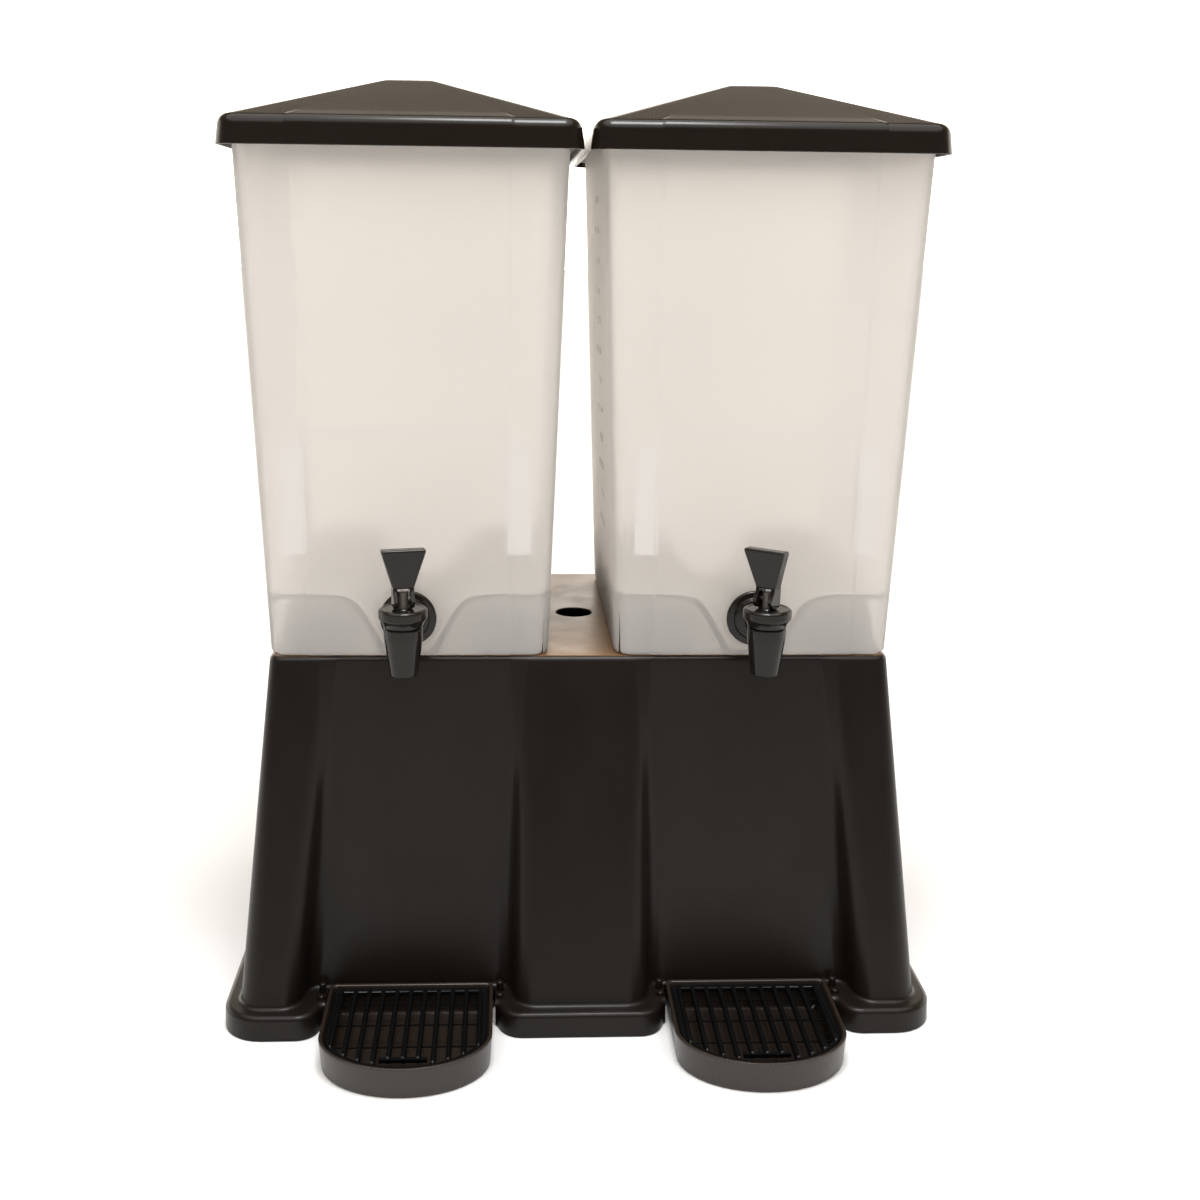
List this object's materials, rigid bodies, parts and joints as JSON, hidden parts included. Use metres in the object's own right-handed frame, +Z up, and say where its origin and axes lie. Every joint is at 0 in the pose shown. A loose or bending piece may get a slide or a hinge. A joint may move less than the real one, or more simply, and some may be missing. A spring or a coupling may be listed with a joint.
{
  "type": "beverage dispenser",
  "caption": "Twin beverage dispenser: tapered translucent tanks with hipped lids on a moulded base, each with a self-closing lever faucet over a drip tray.",
  "frame": {"origin": "on the counter, at the middle of the overall width and depth", "axes": "+Z up, -Y towards the customer, +X to the customer's right"},
  "size_m": [0.474, 0.3997, 0.6102],
  "materials": {
    "base_plastic": "satin moulded, dark brown-black",
    "pad_rubber": "matte black",
    "tank_plastic": "frosted, translucent cream white",
    "lid_plastic": "satin moulded, dark brown",
    "tray_plastic": "satin moulded, dark brown",
    "grid_plastic": "semi-gloss black",
    "faucet_plastic": "glossy black",
    "stem_plastic": "glossy dark grey",
    "silicone": "matte, natural",
    "spring_steel": "drawn wire",
    "pin_steel": "ground",
    "washer_rubber": "matte black",
    "nut_plastic": "moulded black"
  },
  "bodies": {
    "base": {"base_shell": "base_plastic", "base_pads": "pad_rubber", "locating_blocks": "base_plastic"},
    "left_tank_body": {"left_tank": "tank_plastic", "left_faucet_body": "faucet_plastic", "left_bonnet": "faucet_plastic", "left_outer_washer": "washer_rubber", "left_inner_washer": "washer_rubber", "left_shank_nut": "nut_plastic"},
    "left_lid_body": {"left_lid": "lid_plastic"},
    "left_stem_body": {"left_stem": "stem_plastic", "left_seat_cup": "silicone", "left_valve_spring": "spring_steel", "left_handle_pin": "pin_steel"},
    "left_handle_body": {"left_handle": "faucet_plastic"},
    "left_tray_body": {"left_drip_tray": "tray_plastic"},
    "left_grid_body": {"left_drip_grid": "grid_plastic"},
    "right_tank_body": {"right_tank": "tank_plastic", "right_faucet_body": "faucet_plastic", "right_bonnet": "faucet_plastic", "right_outer_washer": "washer_rubber", "right_inner_washer": "washer_rubber", "right_shank_nut": "nut_plastic"},
    "right_lid_body": {"right_lid": "lid_plastic"},
    "right_stem_body": {"right_stem": "stem_plastic", "right_seat_cup": "silicone", "right_valve_spring": "spring_steel", "right_handle_pin": "pin_steel"},
    "right_handle_body": {"right_handle": "faucet_plastic"},
    "right_tray_body": {"right_drip_tray": "tray_plastic"},
    "right_grid_body": {"right_drip_grid": "grid_plastic"}
  },
  "joints": [
    {"name": "left_tank_lift", "type": "slide", "parent": "base", "child": "left_tank_body", "axis": [0, 0, 1], "range_m": [0, 0.06]},
    {"name": "left_lid_lift", "type": "slide", "parent": "left_tank_body", "child": "left_lid_body", "axis": [0, 0, 1], "range_m": [0, 0.05]},
    {"name": "left_stem_lift", "type": "slide", "parent": "left_tank_body", "child": "left_stem_body", "axis": [0, 0, 1], "range_m": [0, 0.0032], "stiffness_N_per_m": 900, "springref_m": -0.004, "deforming": ["left_valve_spring"]},
    {"name": "left_handle_tip", "type": "hinge", "parent": "left_stem_body", "child": "left_handle_body", "pos_m": [-0.1135, -0.1155, 0.295], "axis": [0.9781, 0.2079, 0], "range_deg": [0, 70]},
    {"name": "left_tray_slide", "type": "slide", "parent": "base", "child": "left_tray_body", "axis": [0, -1, 0], "range_m": [0, 0.1]},
    {"name": "left_grid_lift", "type": "slide", "parent": "left_tray_body", "child": "left_grid_body", "axis": [0, 0, 1], "range_m": [0, 0.03]},
    {"name": "right_tank_lift", "type": "slide", "parent": "base", "child": "right_tank_body", "axis": [0, 0, 1], "range_m": [0, 0.06]},
    {"name": "right_lid_lift", "type": "slide", "parent": "right_tank_body", "child": "right_lid_body", "axis": [0, 0, 1], "range_m": [0, 0.05]},
    {"name": "right_stem_lift", "type": "slide", "parent": "right_tank_body", "child": "right_stem_body", "axis": [0, 0, 1], "range_m": [0, 0.0032], "stiffness_N_per_m": 900, "springref_m": -0.004, "deforming": ["right_valve_spring"]},
    {"name": "right_handle_tip", "type": "hinge", "parent": "right_stem_body", "child": "right_handle_body", "pos_m": [0.1135, -0.1155, 0.295], "axis": [0.809, -0.5878, 0], "range_deg": [0, 70]},
    {"name": "right_tray_slide", "type": "slide", "parent": "base", "child": "right_tray_body", "axis": [0, -1, 0], "range_m": [0, 0.1]},
    {"name": "right_grid_lift", "type": "slide", "parent": "right_tray_body", "child": "right_grid_body", "axis": [0, 0, 1], "range_m": [0, 0.03]}
  ],
  "couplings": [
    {"joint": "left_stem_lift", "follows": "left_handle_tip", "m_per_rad": 0.0025783},
    {"joint": "right_stem_lift", "follows": "right_handle_tip", "m_per_rad": 0.0025783}
  ]
}
